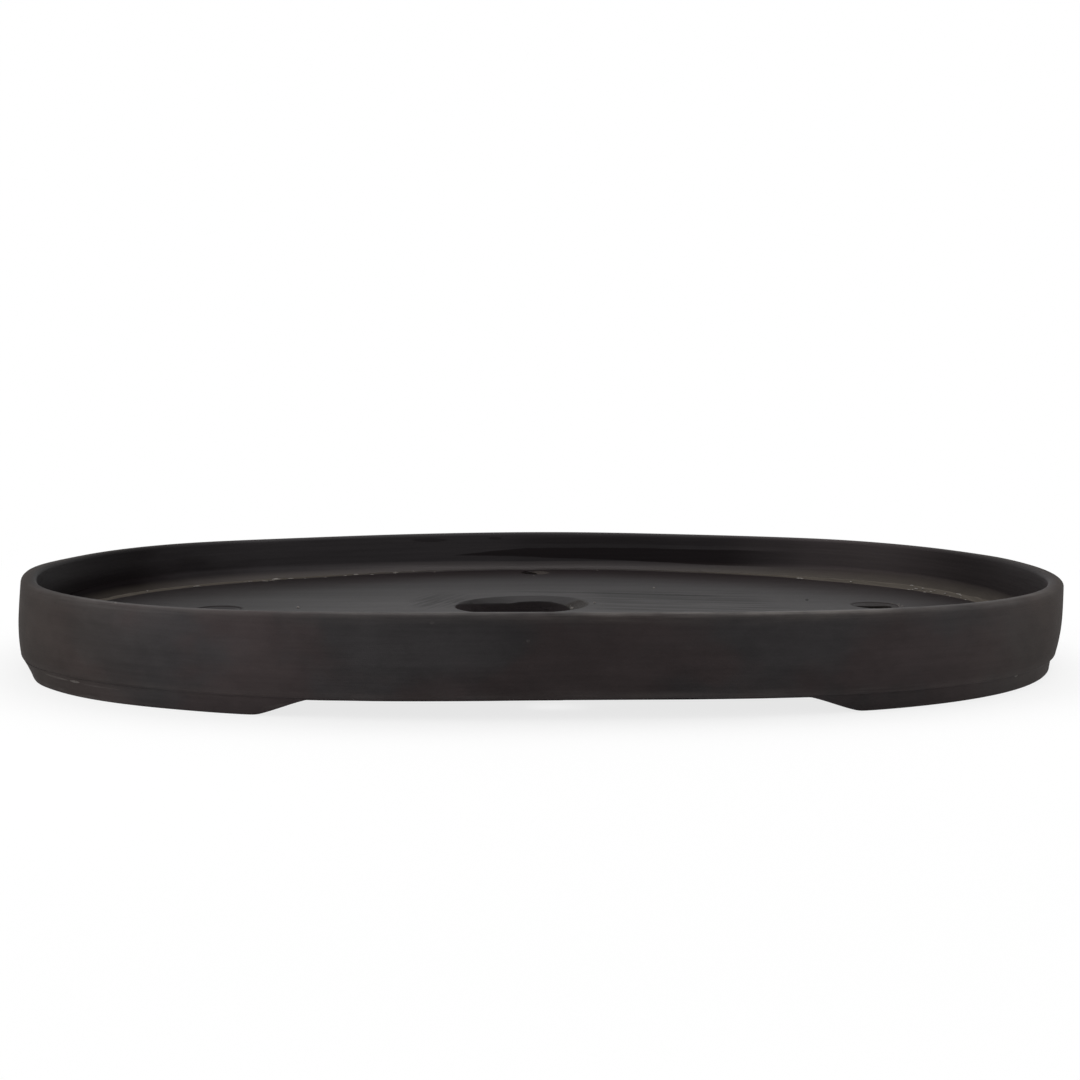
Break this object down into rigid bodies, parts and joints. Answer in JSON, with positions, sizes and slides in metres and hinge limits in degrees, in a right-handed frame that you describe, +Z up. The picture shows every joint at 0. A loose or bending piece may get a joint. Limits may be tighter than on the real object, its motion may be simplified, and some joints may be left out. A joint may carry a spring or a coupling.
{
  "type": "oval bonsai pot",
  "caption": "Shallow oval bonsai pot in unglazed dark stoneware, with a soft rim, drain holes and crescent end feet.",
  "frame": {"origin": "on the table under the middle of the pot, between its two feet", "axes": "+X along the pot's length to the right-hand foot, +Y to its back, +Z up out of the pot"},
  "size_m": [0.6, 0.405, 0.05],
  "materials": {
    "wall_clay": "matt unglazed dark brown-grey stoneware",
    "floor_clay": "satin, smoothed unglazed dark stoneware",
    "cove_clay": "matt, wiped paler edge on dark stoneware",
    "foot_clay": "matt unglazed dark stoneware, a little redder"
  },
  "bodies": {
    "root": {"side_wall": "wall_clay", "floor_slab": "floor_clay", "corner_coil": "cove_clay", "left_foot": "foot_clay", "right_foot": "foot_clay"}
  },
  "joints": []
}
